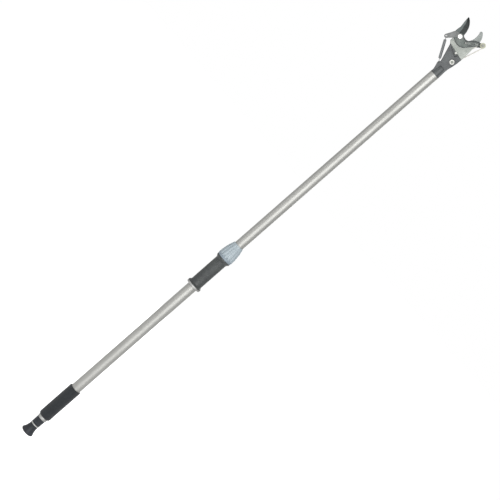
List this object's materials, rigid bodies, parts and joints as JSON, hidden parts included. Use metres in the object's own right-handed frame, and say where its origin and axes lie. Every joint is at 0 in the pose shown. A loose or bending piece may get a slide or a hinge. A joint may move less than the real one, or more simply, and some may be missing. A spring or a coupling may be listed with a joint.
{
  "type": "telescopic pole pruner",
  "caption": "Telescopic two-tube pole pruner with twist lock, foam grip, pull knob and a cord-worked bypass cutting head.",
  "frame": {"origin": "centre of the pull knob's end face", "axes": "+Z along the pole towards the cutting head; the head lies in the XZ plane with the hook on +X and its front facing -Y"},
  "size_m": [0.0894, 0.045, 1.5268],
  "materials": {
    "satin_aluminium": "satin drawn tube",
    "black_foam": "closed-cell foam, matte",
    "black_plastic": "moulded, fine texture",
    "socket_plastic": "glass-filled nylon, fine texture",
    "blue_grey_plastic": "moulded, satin",
    "natural_plastic": "moulded nylon",
    "zinc_steel": "zinc-plated, satin",
    "bright_hardware": "nickel-plated",
    "blackened_steel": "black coated steel, satin",
    "grey_steel": "phosphated steel",
    "spring_steel": "drawn spring wire",
    "cream_cord": "braided polyester"
  },
  "bodies": {
    "lower_pole": {"lower_tube": "satin_aluminium", "foam_grip": "black_foam", "end_plug": "black_plastic", "end_ring": "satin_aluminium", "lock_body": "black_plastic", "sleeve_grip": "black_plastic", "sleeve_ring": "satin_aluminium", "collet": "natural_plastic"},
    "collar": {"lock_collar": "blue_grey_plastic"},
    "pull_knob": {"pull_knob": "black_plastic", "knob_ring": "satin_aluminium", "cord_knot": "cream_cord", "cord_lower": "cream_cord"},
    "upper_pole": {"upper_tube": "satin_aluminium", "guide_bush": "natural_plastic", "head_socket": "socket_plastic", "head_plate": "zinc_steel", "rear_plate": "zinc_steel", "plate_spacers": "zinc_steel", "corner_rivet": "zinc_steel", "index_key": "bright_hardware", "head_bolt": "bright_hardware", "head_nut": "bright_hardware", "cord_anchor": "blackened_steel", "pivot_bolt": "bright_hardware", "pivot_nut": "bright_hardware", "cord_upper": "cream_cord", "head_cord": "cream_cord"},
    "blade": {"blade": "blackened_steel", "blade_lever": "blackened_steel", "rear_link": "blackened_steel", "link_spacer": "zinc_steel", "spring_arm": "grey_steel", "lever_plate": "grey_steel", "lever_rivet": "bright_hardware", "lever_end_rivet": "grey_steel", "pulley_pin": "grey_steel"},
    "arm_pulley": {"arm_pulley": "natural_plastic"},
    "guide_pulley": {"guide_pulley": "natural_plastic"},
    "spring_lower": {"return_spring": "spring_steel"},
    "spring_upper": {"spring_end_hook": "spring_steel"}
  },
  "joints": [
    {"name": "collar_twist", "type": "hinge", "parent": "lower_pole", "child": "collar", "pos_m": [0, 0, 0.6914], "axis": [0, 0, 1], "range_deg": [0, 120]},
    {"name": "telescope", "type": "slide", "parent": "lower_pole", "child": "upper_pole", "axis": [0, 0, -1], "range_m": [0, 0.45], "deforming": ["cord_lower"]},
    {"name": "blade_pivot", "type": "hinge", "parent": "upper_pole", "child": "blade", "pos_m": [-0.0287, 0, 1.4793], "axis": [0, 1, 0], "range_deg": [0, 62], "stiffness_Nm_per_rad": 0.6, "springref_deg": -34.38, "deforming": ["head_cord", "return_spring", "spring_end_hook"]},
    {"name": "cord_pull", "type": "slide", "parent": "lower_pole", "child": "pull_knob", "axis": [0, 0, -1], "range_m": [0, 0.12]},
    {"name": "arm_pulley_spin", "type": "hinge", "parent": "blade", "child": "arm_pulley", "pos_m": [0.0251, 0, 1.5064], "axis": [0, 1, 0], "range_deg": [0, 670]},
    {"name": "guide_pulley_spin", "type": "hinge", "parent": "upper_pole", "child": "guide_pulley", "pos_m": [0.0055, 0, 1.4238], "axis": [0, 1, 0], "range_deg": [-1260, 0]},
    {"name": "spring_swing", "type": "hinge", "parent": "upper_pole", "child": "spring_lower", "pos_m": [-0.0166, -0.0115, 1.3997], "axis": [0, 1, 0], "range_deg": [0, 6.2]},
    {"name": "spring_stretch", "type": "slide", "parent": "spring_lower", "child": "spring_upper", "axis": [-0.5378, 0, 0.8431], "range_m": [0, 0.034]}
  ],
  "couplings": [
    {"joint": "cord_pull", "follows": "blade_pivot", "m_per_rad": 0.10964},
    {"joint": "arm_pulley_spin", "follows": "blade_pivot", "ratio": 10.543},
    {"joint": "guide_pulley_spin", "follows": "blade_pivot", "ratio": -19.935},
    {"joint": "spring_swing", "follows": "blade_pivot", "ratio": 0.097157},
    {"joint": "spring_stretch", "follows": "blade_pivot", "m_per_rad": 0.030929}
  ]
}
